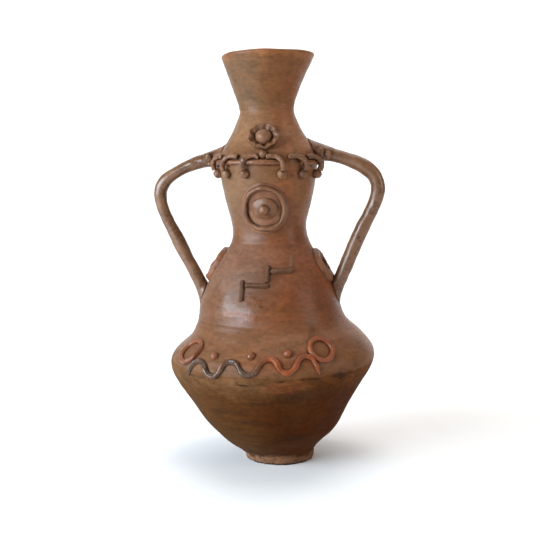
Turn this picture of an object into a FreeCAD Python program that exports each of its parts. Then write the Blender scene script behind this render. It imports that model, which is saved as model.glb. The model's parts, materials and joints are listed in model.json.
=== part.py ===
"""Hand-built burnished earthenware amphora with applied coils, pellets and medallions.

Lengths are in mm. The origin is on the rest plane under the axis of the body, +Z is up,
-Y is the decorated front and +X is the right-hand handle. Angles round the body are in
degrees from the front, positive towards +X.
"""
import FreeCAD, Part
import math
import os

Vector = FreeCAD.Vector

# Wall outlines from bottom to top: (height, outer radius, sideways lean of the ring).
# The bowl and shoulder were joined askew, so the rings lean to one side and back.
BODY_OUTLINE = [
    (11, 40.2, 11.6), (15.5, 47.0, 8.8), (21, 53.6, 6.6), (27, 60.2, 5.8), (35, 68.3, 5.5),
    (44, 75.4, 4.2), (54, 81.5, 2.9), (64, 87.1, 1.9), (74, 93.2, 0.9), (84, 99.5, 0.2),
    (94, 105.6, 0.2), (104, 111.0, 1.0), (114, 113.4, 2.8), (123, 111.9, 5.8),
    (132, 105.7, 8.4), (141, 97.2, 10.2), (150, 90.2, 7.6), (160, 83.0, 3.4),
    (175, 78.8, 1.0), (190, 73.5, 0.8), (205, 67.4, 0.8), (222, 59.1, 0.9),
    (232, 51.9, 1.2), (241, 45.9, 1.5), (250, 42.4, 1.2), (264, 41.3, -0.4),
    (281, 45.2, -0.6), (299, 49.6, -0.8), (317, 53.0, -1.3), (334, 54.8, -1.5),
]
COLLAR_OUTLINE = [
    (334, 55.8, -1.5), (341, 53.9, -1.3), (350, 48.8, -1.2), (361, 42.3, -1.3),
    (367, 38.6, -1.8), (374, 35.4, -2.3), (383, 31.3, -2.7), (390, 29.6, -3.1),
]
FUNNEL_OUTLINE = [
    (390, 30.0, -3.3), (400, 32.1, -3.9), (409, 35.4, -4.1), (418, 38.5, -4.1),
    (426, 41.7, -3.6), (435, 45.4, -2.9), (443, 48.8, -2.2), (452, 52.0, -1.6),
]
FOOT_OUTLINE = [(0, 38.4, 12.1), (5, 39.3, 12.1), (11, 39.5, 11.8)]

OVERRUN = 4.0
BODY_WALL = 6.8
COLLAR_WALL = 6.0
FUNNEL_WALL = 5.4
LIP_RADIUS = 3.0
FOOT_HOLLOW_RADIUS = 29.0

# Joints between the body sections: (height, outer radius, lean) at the wall's outer face.
JOINT_BEVEL = 0.45
SECTION_JOINTS = [(113, 113.3, 2.5), (158, 84.1, 4.1), (243, 44.9, 1.5)]

# Handles: (sideways, forwards, height, coil radius), from the collar to the dome.
LEFT_HANDLE = [
    (-44, 0, 346, 9.2), (-57, 0, 341.8, 8.8), (-69, 0.5, 337.2, 7.8), (-82, 1, 332.4, 7.0),
    (-96, 1, 326.6, 6.8), (-109, 1, 319.2, 6.8), (-118.5, 0.5, 311, 6.9),
    (-123.3, 0, 300.5, 6.9), (-122.8, 0, 288, 6.8), (-119.1, -0.5, 277, 6.8),
    (-112, -1, 262, 6.9), (-103, -1, 244, 7.1), (-93, -0.5, 224.5, 7.2),
    (-83.7, 0, 207.5, 7.3), (-77.4, 0, 195, 7.3), (-73.6, 0, 182, 7.0), (-72, 0, 168, 6.0),
]
RIGHT_HANDLE = [
    (40, 0, 346.5, 10.0), (52, 0, 344.2, 9.8), (64, 0.5, 342.6, 8.8), (78, 1, 339.2, 8.0),
    (94, 1, 334, 7.9), (106.6, 0.5, 327.2, 8.0), (115.2, 0, 319.4, 8.1),
    (120, 0, 309, 8.0), (119, -0.5, 296, 7.8), (113.2, -1, 281.4, 7.6),
    (104.8, -1, 264.5, 7.5), (98, -0.5, 249, 7.5), (91.6, 0, 234, 7.5), (84.9, 0, 217.5, 7.6),
    (78, 0, 200.5, 7.6), (74, 0, 188, 7.2), (72, 0, 172, 6.2),
]
# Balls pressed over the upper handle roots: (sideways, forwards, height, radius).
LEFT_ROOT_PELLETS = [(-66.5, 8.4, 342.0, 4.4), (-64.5, 9.0, 334.0, 3.2)]
RIGHT_ROOT_PELLETS = [(56, 10.8, 344.0, 4.8), (65.4, 9.6, 341.4, 3.8)]

# Cord round the foot of the collar, with a stretch broken off to the right of the front.
CORD_HEIGHT = 333.0
CORD_RADIUS = 2.7
CORD_PROUD = 1.2
CORD_BREAK = (20.5, 44.5)

# Hooks over the cord: (angle of the start, angle of the ball), mirrored to the other side.
HOOK_ANGLES = [(4.5, 21.0), (28.5, 48.0), (54.5, 74.5)]
HOOK_START_HEIGHT = 338.4
HOOK_END_HEIGHT = 324.5
HOOK_RADIUS = 2.6
HOOK_BALL_HEIGHT = 320.8
HOOK_BALL_RADIUS = 4.6
HOOK_BALL_LIFT = 2.6
COLLAR_PELLET_HEIGHT = 341.0
COLLAR_PELLET_RADIUS = 4.3

# Flower on the collar: ruffled cup with a ball in it.
FLOWER_HEIGHT = 357.6
FLOWER_LOBES = 9
FLOWER_BASE_RADIUS = 9.0
FLOWER_RIM_RADIUS = 16.4
FLOWER_RUFFLE = 1.5
FLOWER_DEPTH = 7.0
FLOWER_WALL = 2.2
FLOWER_SUNK = 4.0
FLOWER_BALL_RADIUS = 8.2
FLOWER_BALL_LIFT = 3.6

# Medallion on the neck: pad, oval ring, mound and stud.
MEDALLION_HEIGHT = 284.0
PAD_HALF_WIDTH = 25.8
PAD_HALF_HEIGHT = 26.6
PAD_THICKNESS = 1.8
MEDALLION_HALF_WIDTH = 21.6
MEDALLION_HALF_HEIGHT = 22.4
MEDALLION_COIL_RADIUS = 3.7
MOUND_RADIUS = 11.6
MOUND_RISE = 3.4
STUD_RADIUS = 5.2
STUD_LIFT = 5.6

# Steps on the dome: five short rolls, (start, end) as (sideways, height) seen from the front.
STEP_ROLLS = [
    ((-22.3, 187.5), (-22.3, 208.0)), ((-19.0, 203.5), (6.4, 203.5)),
    ((4.2, 207.0), (4.2, 224.0)), ((7.6, 218.2), (31.2, 218.2)), ((28.8, 222.4), (28.8, 233.0)),
]
STEP_RADIUS = 2.3

# Rings on the sides of the dome, under the handles.
SIDE_RING_HEIGHT = 220.5
SIDE_RING_HALF_WIDTH = 18.6
SIDE_RING_COIL_RADIUS = 5.2
SIDE_RING_SUNK = 0.6

# Ornament round the shoulder: (sideways, height) as seen from the front, for a level
# shoulder. All of it climbs with the shoulder towards the right handle.
SHOULDER_CLIMB = 0.085
WAVE_TURNS = [
    (-92.0, 99.0), (-64.2, 131.0), (-48.8, 117.0), (-29.8, 131.2), (-9.3, 118.2),
    (10.3, 131.9), (30.4, 117.5), (46.6, 131.0), (77.5, 92.0),
]
WAVE_RADIUS = 3.0
WAVE_ROUNDING = 0.4
WAVE_PELLETS = [(-47.6, 135.4), (-8.2, 135.4), (29.3, 134.9)]
WAVE_PELLET_RADIUS = 4.1
# Loops beyond the ends of the wave: (sideways, height, half width, half height).
WAVE_LOOPS = [(-78.0, 137.4, 14.2, 13.2), (62.8, 134.4, 12.7, 13.2)]
LOOP_COIL_RADIUS = 2.9

FRONT = 0.0
BACK = 180.0


def outline_curve(rings):
    """Smooth curve through rings, as points of (radius, lean, height)."""
    curve = Part.BSplineCurve()
    curve.interpolate([Vector(radius, lean, height) for height, radius, lean in rings])
    return curve


def outline_at(height, outline):
    """Radius and lean of an outline at a height."""
    curve = outline_curve(outline)
    low, high = curve.FirstParameter, curve.LastParameter
    for _ in range(40):
        middle = 0.5 * (low + high)
        if curve.value(middle).z < height:
            low = middle
        else:
            high = middle
    point = curve.value(high)
    return point.x, point.y


def outline_slope(height, outline):
    """Growth of the radius per mm of height."""
    above = min(height + 1.0, outline[-1][0])
    below = max(height - 1.0, outline[0][0])
    growth = outline_at(above, outline)[0] - outline_at(below, outline)[0]
    return growth / (above - below)


def wall_point(angle, height, outline=BODY_OUTLINE, lift=0.0):
    """Point on the outer wall, raised by lift along the wall's normal."""
    radius, lean = outline_at(height, outline)
    normal = wall_normal(angle, height, outline)
    turn = math.radians(angle)
    surface = Vector(lean + radius * math.sin(turn), -radius * math.cos(turn), height)
    return surface + normal * lift


def wall_normal(angle, height, outline=BODY_OUTLINE):
    """Outward direction at a point on the outer wall."""
    turn = math.radians(angle)
    slope = outline_slope(height, outline)
    return Vector(math.sin(turn), -math.cos(turn), -slope).normalize()


def angle_seen(facing, sideways, height):
    """Angle round the wall of a place seen from the front or the back."""
    radius, lean = outline_at(height, BODY_OUTLINE)
    if facing == FRONT:
        return math.degrees(math.asin((sideways - lean) / radius))
    return 180 + math.degrees(math.asin((sideways + lean) / radius))


def settle(point, outline=BODY_OUTLINE, lift=0.0):
    """Angle, height and lifted point of the wall beside a nearby point."""
    lean = outline_at(point.z, outline)[1]
    angle = math.degrees(math.atan2(point.x - lean, -point.y))
    return angle, wall_point(angle, point.z, outline, lift)


def stack(rings):
    """Solid whose side runs smoothly through level rings, each a true circle."""
    curve = outline_curve(rings)
    corner = math.sqrt(0.5)
    compass = [(1, 0), (1, 1), (0, 1), (-1, 1), (-1, 0), (-1, -1), (0, -1), (1, -1), (1, 0)]
    weights = [1, corner, 1, corner, 1, corner, 1, corner, 1]
    poles = []
    for pole in curve.getPoles():
        radius, lean, height = pole
        poles.append([Vector(lean + radius * x, radius * y, height) for x, y in compass])
    side = Part.BSplineSurface()
    side.buildFromPolesMultsKnots(
        poles, curve.getMultiplicities(), [3, 2, 2, 2, 3], curve.getKnots(),
        [0, 0.25, 0.5, 0.75, 1], False, False, curve.Degree, 2, [weights] * len(poles))
    faces = [side.toShape()]
    for height, radius, lean in (rings[0], rings[-1]):
        lid = Part.Wire(Part.makeCircle(radius, Vector(lean, 0, height)))
        faces.append(Part.Face(lid))
    shell = Part.makeShell(faces)
    shell.sewShape()
    solid = Part.makeSolid(shell)
    if solid.Volume < 0:
        solid.reverse()
    return solid


def inset(outline, wall):
    """Rings inside an outline, a wall's thickness in from its slope."""
    rings = []
    for height, radius, lean in outline:
        slope = outline_slope(height, outline)
        rings.append((height, radius - wall * math.hypot(1, slope), lean))
    return rings


def coil(stations, closed=False, ruled=False):
    """Round coil through stations of (centre, side direction, radius)."""
    count = len(stations)
    wires = []
    for index, (centre, side, radius) in enumerate(stations):
        before = stations[index - 1][0] if closed or index > 0 else centre
        after = stations[(index + 1) % count][0] if closed or index < count - 1 else centre
        along = (after - before).normalize()
        ring = Part.makeCircle(radius)
        turn = FreeCAD.Rotation(side, Vector(), along, "ZXY")
        ring.Placement = FreeCAD.Placement(centre, turn)
        wires.append(Part.Wire(ring))
    return Part.makeLoft(wires, True, ruled, closed)


def blunt(length, reach, radius):
    """Radius of a coil with rounded ends, at a distance along its length."""
    near = min(reach, length - reach) / radius
    if near >= 1:
        return radius
    return radius * max(0.4, math.sqrt(1 - (1 - near) ** 2))


def roll_on_wall(path, radius, outline=BODY_OUTLINE, lift=0.0, ruled=False):
    """Coil with blunt ends along a path of (angle, height), half sunk in the wall."""
    centres = [wall_point(angle, height, outline, lift) for angle, height in path]
    reaches = [0.0]
    for start, end in zip(centres, centres[1:]):
        reaches.append(reaches[-1] + (end - start).Length)
    stations = []
    for (angle, height), centre, reach in zip(path, centres, reaches):
        side = wall_normal(angle, height, outline)
        stations.append((centre, side, blunt(reaches[-1], reach, radius)))
    return coil(stations, ruled=ruled)


def ring_on_wall(angle, height, half_width, half_height, radius, lift=0.0, turns=16):
    """Closed oval coil that follows the wall round a point."""
    middle = wall_point(angle, height)
    normal = wall_normal(angle, height)
    across = Vector(math.cos(math.radians(angle)), math.sin(math.radians(angle)), 0)
    upward = normal.cross(across)
    stations = []
    for index in range(turns):
        turn = 2 * math.pi * index / turns
        spot = middle + across * (half_width * math.cos(turn))
        spot = spot + upward * (half_height * math.sin(turn))
        spot_angle, centre = settle(spot, lift=lift)
        stations.append((centre, wall_normal(spot_angle, centre.z), radius))
    return coil(stations, closed=True)


def ball_on_wall(angle, height, radius, lift, outline=BODY_OUTLINE):
    """Ball whose centre is lifted off the wall, with its seam on the outer side."""
    ball = Part.makeSphere(radius)
    ball.rotate(Vector(), Vector(0, 0, 1), angle - 90)
    ball.translate(wall_point(angle, height, outline, lift))
    return ball


def trim(shape, *others):
    """Shape with its neighbours cut away, so that it meets them face to face."""
    for other in others:
        shape = shape.cut(other)
    return shape


def group(shapes):
    """Separate solids kept together as one node, without crumbs left by trimming."""
    smallest = 1.0
    solids = [solid for shape in shapes for solid in shape.Solids if solid.Volume > smallest]
    return Part.makeCompound(solids)


def below_joint(height, radius, lean):
    """Everything under a bevelled joint, which rises towards the inside of the vessel."""
    reach = 200.0
    edge = Vector(lean + radius + reach, 0, height - JOINT_BEVEL * reach)
    peak = Vector(lean, 0, height + JOINT_BEVEL * radius)
    deep = edge.z - 50.0
    corners = [peak, edge, Vector(edge.x, 0, deep), Vector(lean, 0, deep), peak]
    face = Part.Face(Part.makePolygon(corners))
    return face.revolve(Vector(lean, 0, 0), Vector(0, 0, 1), 360)


def body_sections(body_skin):
    """Lower bowl, shoulder, dome and neck, luted edge to edge."""
    rings = inset(BODY_OUTLINE, BODY_WALL)[1:]
    top = (BODY_OUTLINE[-1][0] + OVERRUN, rings[-1][1], rings[-1][2])
    wall = body_skin.cut(stack(rings + [top]))
    sections = []
    for joint in SECTION_JOINTS:
        under = below_joint(*joint)
        sections.append(wall.common(under))
        wall = wall.cut(under)
    sections.append(wall)
    return sections


def collar_section(collar_skin):
    """Flared collar between the neck and the funnel."""
    rings = inset(COLLAR_OUTLINE, COLLAR_WALL)
    low, high = rings[0], rings[-1]
    first = (low[0] - OVERRUN, low[1], low[2])
    last = (high[0] + OVERRUN, high[1], high[2])
    return collar_skin.cut(stack([first] + rings + [last]))


def mouth_funnel():
    """Funnel mouth with a rounded lip."""
    rings = inset(FUNNEL_OUTLINE, FUNNEL_WALL)
    low, high = rings[0], rings[-1]
    first = (low[0] - OVERRUN, low[1], low[2])
    last = (high[0] + OVERRUN, high[1] + LIP_RADIUS, high[2])
    return stack(FUNNEL_OUTLINE).cut(stack([first] + rings + [last]))


def foot_ring():
    """Low ring that the bowl stands on."""
    low, high = FOOT_OUTLINE[0], FOOT_OUTLINE[-1]
    bore = [(low[0] - 1, FOOT_HOLLOW_RADIUS, low[2]), (high[0] + 1, FOOT_HOLLOW_RADIUS, high[2])]
    return stack(FOOT_OUTLINE).cut(stack(bore))


def handle(route):
    """Bent coil from the collar to the dome."""
    side = Vector(0, 1, 0)
    return coil([(Vector(x, -forward, z), side, radius) for x, forward, z, radius in route])


def root_pellets(places):
    """Balls over the root of a handle."""
    return [Part.makeSphere(radius, Vector(x, -forward, z)) for x, forward, z, radius in places]


def collar_cord():
    """Cord round the collar, open where a stretch has broken off."""
    radius, lean = COLLAR_OUTLINE[0][1] + CORD_PROUD, COLLAR_OUTLINE[0][2]
    start, end = CORD_BREAK[1], CORD_BREAK[0] + 360
    torus = Part.makeTorus(radius, CORD_RADIUS, Vector(0, 0, 0), Vector(0, 0, 1), 0, 360, end - start)
    torus.rotate(Vector(0, 0, 0), Vector(0, 0, 1), start - 90)
    torus.translate(Vector(lean, 0, CORD_HEIGHT))
    return torus


def hook(facing, start, end):
    """Short coil that starts on the collar, crosses the cord and hangs down."""
    bend = start + 0.62 * (end - start)
    bend_height = HOOK_START_HEIGHT + 1.2
    over = CORD_PROUD + CORD_RADIUS + 1.0
    middle = 0.5 * (start + bend)
    path = [
        (start, HOOK_START_HEIGHT, 0.6), (middle, bend_height, 1.4), (bend, bend_height - 1, 2.6),
        (end - 0.12 * (end - start), CORD_HEIGHT + 1.5, over + 0.8),
        (end, CORD_HEIGHT - 4.5, over + 0.4), (end, HOOK_END_HEIGHT, over - 1.0),
    ]
    radius, lean = COLLAR_OUTLINE[0][1], COLLAR_OUTLINE[0][2]
    stations = []
    for angle, height, out in path:
        turn = math.radians(facing + angle)
        outward = Vector(math.sin(turn), -math.cos(turn), 0)
        centre = outward * (radius + out) + Vector(lean, 0, height)
        stations.append((centre, outward, HOOK_RADIUS))
    return coil(stations)


def hook_ball(facing, end):
    """Ball at the hanging end of a hook."""
    return ball_on_wall(facing + end, HOOK_BALL_HEIGHT, HOOK_BALL_RADIUS, HOOK_BALL_LIFT)


def collar_pellet(facing):
    """Pellet between the two middle hooks."""
    return ball_on_wall(facing, COLLAR_PELLET_HEIGHT, COLLAR_PELLET_RADIUS, 1.4, COLLAR_OUTLINE)


def ruffled_wire(radius, ruffle, height):
    """Closed wavy outline, flat at a height."""
    points = []
    count = FLOWER_LOBES * 4
    for index in range(count):
        turn = 2 * math.pi * index / count
        reach = radius + ruffle * math.cos(FLOWER_LOBES * turn)
        points.append(Vector(reach * math.cos(turn), reach * math.sin(turn), height))
    curve = Part.BSplineCurve()
    curve.interpolate(points, PeriodicFlag=True)
    return Part.Wire(curve.toShape())


def flower_place(facing):
    """Placement of the flower, with its local Z square to the collar."""
    normal = wall_normal(facing, FLOWER_HEIGHT, COLLAR_OUTLINE)
    turn = math.radians(facing)
    across = Vector(math.cos(turn), math.sin(turn), 0)
    rotation = FreeCAD.Rotation(across, Vector(), normal, "ZXY")
    return FreeCAD.Placement(wall_point(facing, FLOWER_HEIGHT, COLLAR_OUTLINE), rotation)


def flower_cup(facing):
    """Ruffled cup of petals."""
    outer = [
        ruffled_wire(FLOWER_BASE_RADIUS, 0.2, -FLOWER_SUNK),
        ruffled_wire(0.5 * (FLOWER_BASE_RADIUS + FLOWER_RIM_RADIUS), 0.5 * FLOWER_RUFFLE, 2.0),
        ruffled_wire(FLOWER_RIM_RADIUS, FLOWER_RUFFLE, FLOWER_DEPTH),
    ]
    inner = [
        ruffled_wire(FLOWER_BASE_RADIUS - FLOWER_WALL, 0.1, 0.5),
        ruffled_wire(FLOWER_RIM_RADIUS - FLOWER_WALL, FLOWER_RUFFLE, FLOWER_DEPTH + 0.5),
    ]
    cup = Part.makeLoft(outer, True, False).cut(Part.makeLoft(inner, True, False))
    cup.Placement = flower_place(facing)
    return cup


def flower_ball(facing):
    """Ball that sits in the cup."""
    place = flower_place(facing)
    return Part.makeSphere(FLOWER_BALL_RADIUS, place.multVec(Vector(0, 0, FLOWER_BALL_LIFT)))


def medallion_pad(facing):
    """Thin oval pad that follows the neck."""
    reach = 12.0
    low, high = MEDALLION_HEIGHT - PAD_HALF_HEIGHT - reach, MEDALLION_HEIGHT + PAD_HALF_HEIGHT + reach
    rings = [(z, r + PAD_THICKNESS, lean) for z, r, lean in BODY_OUTLINE if low < z < high]
    oval = Part.Ellipse(Vector(0, 0, 0), PAD_HALF_HEIGHT, PAD_HALF_WIDTH)
    plug = Part.Face(Part.Wire(oval.toShape())).extrude(Vector(0, 0, 90))
    rotation = FreeCAD.Rotation(Vector(0, 0, 1), Vector(), Vector(0, -1, 0), "ZXY")
    plug.Placement = FreeCAD.Placement(Vector(-1.1, 0, MEDALLION_HEIGHT), rotation)
    plug.rotate(Vector(-1.1, 0, 0), Vector(0, 0, 1), facing)
    return stack(rings).common(plug)


def medallion_mound(facing):
    """Low round mound in the middle of the medallion."""
    curve_radius = (MOUND_RADIUS ** 2 + MOUND_RISE ** 2) / (2 * MOUND_RISE)
    lift = PAD_THICKNESS + MOUND_RISE - curve_radius
    mound = ball_on_wall(facing, MEDALLION_HEIGHT, curve_radius, lift)
    return mound


def step_rolls(facing):
    """Five short rolls laid as a flight of steps up the dome."""
    shapes = []
    for (x_start, z_start), (x_end, z_end) in STEP_ROLLS:
        path = []
        for part in (0, 0.06, 0.2, 0.5, 0.8, 0.94, 1):
            sideways = x_start + (x_end - x_start) * part
            height = z_start + (z_end - z_start) * part
            path.append((angle_seen(facing, sideways, height), height))
        roll = roll_on_wall(path, STEP_RADIUS, lift=0.6)
        shapes.append(trim(roll, *shapes))
    return shapes


def shoulder_spot(facing, sideways, height):
    """Angle and height of a place on the shoulder, which climbs towards the right handle."""
    towards_right = sideways if facing == FRONT else -sideways
    climbed = height + SHOULDER_CLIMB * towards_right
    return angle_seen(facing, sideways, climbed), climbed


def wave_path(facing):
    """Angles and heights along the wavy coil, which starts and ends between two turns."""
    steps = 6
    path = []
    for (x_a, z_a), (x_b, z_b) in zip(WAVE_TURNS, WAVE_TURNS[1:]):
        for index in range(steps):
            part = index / steps
            height = z_a + (z_b - z_a) * 0.5 * (1 - math.cos(math.pi * part))
            across = part + WAVE_ROUNDING * math.sin(2 * math.pi * part) / (2 * math.pi)
            path.append(shoulder_spot(facing, x_a + (x_b - x_a) * across, height))
    return path[steps // 2:1 - steps // 2]


def wave_loops(facing):
    """Ring of coil beyond each end of the wave."""
    return [ring_on_wall(*shoulder_spot(facing, sideways, height), half_width, half_height,
                         LOOP_COIL_RADIUS, lift=0.8)
            for sideways, height, half_width, half_height in WAVE_LOOPS]


def wave_pellets(facing):
    """Pellets between the waves."""
    return [ball_on_wall(*shoulder_spot(facing, sideways, height), WAVE_PELLET_RADIUS, 0.4)
            for sideways, height in WAVE_PELLETS]


def build():
    """All the nodes of the amphora, by name."""
    nodes = {}
    body_skin = stack(BODY_OUTLINE)
    collar_skin = stack(COLLAR_OUTLINE)
    names = ("lower_bowl", "shoulder", "belly_dome", "neck")
    nodes.update(zip(names, body_sections(body_skin)))
    nodes["foot_ring"] = foot_ring()
    nodes["collar"] = collar_section(collar_skin)
    nodes["mouth_funnel"] = mouth_funnel()

    handles = {}
    for side, route, places in (("left", LEFT_HANDLE, LEFT_ROOT_PELLETS),
                                ("right", RIGHT_HANDLE, RIGHT_ROOT_PELLETS)):
        shape = trim(handle(route), body_skin, collar_skin)
        handles[side] = max(shape.Solids, key=lambda solid: solid.Volume)
        nodes["handle_" + side] = handles[side]
        pellets = [trim(ball, body_skin, collar_skin, handles[side]) for ball in root_pellets(places)]
        nodes["handle_pellets_" + side] = group(pellets)
    cord = trim(collar_cord(), body_skin, collar_skin, *handles.values())
    nodes["collar_cord"] = group([cord])
    root_balls = [nodes["handle_pellets_left"], nodes["handle_pellets_right"]]

    for facing, name in ((FRONT, "front"), (BACK, "back")):
        hooks = []
        balls = []
        for start, end in HOOK_ANGLES:
            for side in (-1, 1):
                ball = trim(hook_ball(facing, side * end), body_skin)
                piece = trim(hook(facing, side * start, side * end), body_skin, collar_skin,
                             cord, ball, *handles.values(), *root_balls)
                hooks.append(piece)
                balls.append(ball)
        nodes["collar_hooks_" + name] = group(hooks)
        nodes["hook_balls_" + name] = group(balls)
        pellet = trim(collar_pellet(facing), collar_skin, cord, *hooks)
        nodes["collar_pellet_" + name] = group([pellet])
        cup = trim(flower_cup(facing), collar_skin)
        nodes["flower_cup_" + name] = group([cup])
        nodes["flower_ball_" + name] = group([trim(flower_ball(facing), collar_skin, cup)])

        pad = trim(medallion_pad(facing), body_skin)
        ring = trim(ring_on_wall(facing, MEDALLION_HEIGHT, MEDALLION_HALF_WIDTH,
                                 MEDALLION_HALF_HEIGHT, MEDALLION_COIL_RADIUS,
                                 lift=PAD_THICKNESS + 0.6), body_skin, pad)
        mound = trim(medallion_mound(facing), body_skin, pad, ring)
        stud = trim(ball_on_wall(facing, MEDALLION_HEIGHT, STUD_RADIUS, STUD_LIFT),
                    body_skin, pad, mound)
        nodes["medallion_pad_" + name] = group([pad])
        nodes["medallion_ring_" + name] = group([ring])
        nodes["medallion_mound_" + name] = group([mound])
        nodes["medallion_stud_" + name] = group([stud])

        nodes["step_rolls_" + name] = group([trim(roll, body_skin) for roll in step_rolls(facing)])

        wave = trim(roll_on_wall(wave_path(facing), WAVE_RADIUS, lift=0.8, ruled=True), body_skin)
        loops = [trim(loop, body_skin, wave) for loop in wave_loops(facing)]
        pellets = [trim(ball, body_skin, wave) for ball in wave_pellets(facing)]
        nodes["wave_coil_" + name] = group([wave])
        nodes["wave_loops_" + name] = group(loops)
        nodes["wave_pellets_" + name] = group(pellets)

    for side, angle in (("left", -88.0), ("right", 88.0)):
        ring = ring_on_wall(angle, SIDE_RING_HEIGHT, SIDE_RING_HALF_WIDTH, SIDE_RING_HALF_WIDTH,
                            SIDE_RING_COIL_RADIUS, lift=-SIDE_RING_SUNK)
        nodes["side_ring_" + side] = group([trim(ring, body_skin, handles[side])])
    return nodes


def main():
    os.makedirs("parts", exist_ok=True)
    for name, shape in build().items():
        shape.exportStep(os.path.join("parts", name + ".step"))
        box = shape.BoundBox
        print(name, len(shape.Solids), round(shape.Volume), shape.isValid(),
              [round(value, 1) for value in (box.XMin, box.XMax, box.YMin, box.YMax, box.ZMin, box.ZMax)])


main()
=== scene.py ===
"""Visual model of the amphora: burnished, hand-built earthenware on a pale studio sweep."""
import json
import math

import bpy
import numpy as np
from mathutils import Matrix, Vector
from mathutils.bvhtree import BVHTree


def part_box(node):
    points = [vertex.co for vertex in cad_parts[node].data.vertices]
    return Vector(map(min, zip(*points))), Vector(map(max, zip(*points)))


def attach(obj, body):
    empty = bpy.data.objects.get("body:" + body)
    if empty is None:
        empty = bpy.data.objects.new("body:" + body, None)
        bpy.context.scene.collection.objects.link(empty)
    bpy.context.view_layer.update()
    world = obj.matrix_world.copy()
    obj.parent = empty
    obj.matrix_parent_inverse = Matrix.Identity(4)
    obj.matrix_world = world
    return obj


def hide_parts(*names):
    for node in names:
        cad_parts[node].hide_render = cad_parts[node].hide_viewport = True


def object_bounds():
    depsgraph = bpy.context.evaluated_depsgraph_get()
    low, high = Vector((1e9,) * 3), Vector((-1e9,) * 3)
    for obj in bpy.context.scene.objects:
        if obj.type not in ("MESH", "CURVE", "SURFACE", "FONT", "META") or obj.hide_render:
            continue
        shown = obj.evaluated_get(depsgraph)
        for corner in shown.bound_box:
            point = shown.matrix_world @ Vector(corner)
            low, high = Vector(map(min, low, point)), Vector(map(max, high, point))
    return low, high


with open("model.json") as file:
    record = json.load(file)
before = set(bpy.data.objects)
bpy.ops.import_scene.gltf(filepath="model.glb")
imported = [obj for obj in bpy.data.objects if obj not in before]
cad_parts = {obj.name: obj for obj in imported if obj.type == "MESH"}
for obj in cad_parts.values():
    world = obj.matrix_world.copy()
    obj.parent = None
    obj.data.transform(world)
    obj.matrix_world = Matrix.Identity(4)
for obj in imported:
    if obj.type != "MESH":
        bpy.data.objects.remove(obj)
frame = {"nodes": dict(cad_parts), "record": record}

CAD_BOX = [list(corner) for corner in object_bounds()]
MM = 0.001
# Corners round a wall, height of its rows, and how much coarser the ornaments' meshes are.
AROUND = 384
ROW = 1.2 * MM
COARSE = 1.0
# Walls from the foot up, in runs whose outline flows on across the seams.
BODY = ("lower_bowl", "shoulder", "belly_dome", "neck")
CHAINS = (("foot_ring",), BODY, ("collar",), ("mouth_funnel",))
WALLS = [name for chain in CHAINS for name in chain]
SLOTS = {part["node"]: part["material_slot"] for part in frame["record"]["subparts"]}
rng = np.random.default_rng(41)


# ---------------------------------------------------------------- wall shape read from the frame

def tree_of(names):
    """One ray-cast tree over the meshes of several CAD nodes."""
    corners, faces = [], []
    for name in names:
        mesh = frame["nodes"][name].data
        start = len(corners)
        corners += [v.co.copy() for v in mesh.vertices]
        faces += [[start + i for i in p.vertices] for p in mesh.polygons]
    return BVHTree.FromPolygons(corners, faces)


def smoothed(values, sigma):
    """Gaussian smoothing of evenly spaced values, straight on past both ends."""
    reach = int(4 * sigma)
    if reach < 1:
        return values
    kernel = np.exp(-0.5 * (np.arange(-reach, reach + 1) / sigma) ** 2)
    steps = np.arange(reach, 0, -1)
    head = 2 * values[0] - values[np.minimum(steps, len(values) - 1)]
    tail = 2 * values[-1] - values[np.maximum(len(values) - 1 - steps[::-1], 0)]
    return np.convolve(np.concatenate([head, values, tail]), kernel / kernel.sum(), "valid")


def read_chain(names, joints):
    """Heights, outer radius, inner radius and sideways lean of one run of wall."""
    tree = tree_of(names)
    low = min(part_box(n)[0][2] for n in names)
    high = max(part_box(n)[1][2] for n in names)
    heights = np.arange(low + 0.3 * MM, high - 0.3 * MM, 0.5 * MM)
    rows = []
    for z in heights:
        if any(abs(z - joint) < 0.9 * MM for joint in joints):
            continue
        left = tree.ray_cast(Vector((-0.5, 0, z)), Vector((1, 0, 0)))[0]
        right = tree.ray_cast(Vector((0.5, 0, z)), Vector((-1, 0, 0)))[0]
        if left is None or right is None:
            continue
        lean = 0.5 * (left.x + right.x)
        near = tree.ray_cast(Vector((lean, 0, z)), Vector((1, 0, 0)))[0]
        inner = near.x - lean if near is not None else np.nan
        rows.append((z, 0.5 * (right.x - left.x), inner, lean))
    rows = np.array(rows)
    outer = np.interp(heights, rows[:, 0], rows[:, 1])
    lean = np.interp(heights, rows[:, 0], rows[:, 3])
    known = np.isfinite(rows[:, 2])
    inner = np.interp(heights, rows[known, 0], rows[known, 2])
    return heights, smoothed(outer, 4.0), smoothed(inner, 4.0), smoothed(lean, 8.0)


def meeting(lower, upper):
    """Height at which two stacked nodes meet."""
    return 0.5 * (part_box(lower)[1][2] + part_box(upper)[0][2])


JOINTS = [meeting(a, b) for a, b in zip(WALLS, WALLS[1:])]
CHAIN_DATA = [read_chain(names, JOINTS) for names in CHAINS]
CHAIN_ENDS = [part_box(names[-1])[1][2] for names in CHAINS]


def wall(z, chain=None):
    """Outer radius and lean at heights z (array)."""
    z = np.asarray(z, dtype=float)
    radius, lean = np.zeros_like(z), np.zeros_like(z)
    for index, (heights, outer, _, middle) in enumerate(CHAIN_DATA):
        if chain is None:
            floor = -1.0 if index == 0 else CHAIN_ENDS[index - 1]
            ceiling = 9.0 if index == len(CHAIN_DATA) - 1 else CHAIN_ENDS[index]
            mask = (z >= floor) & (z < ceiling)
        elif chain == index:
            mask = np.ones(z.shape, dtype=bool)
        else:
            continue
        radius[mask] = np.interp(z[mask], heights, outer)
        lean[mask] = np.interp(z[mask], heights, middle)
    return radius, lean


# ---------------------------------------------------------------- hand-made unevenness

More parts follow.
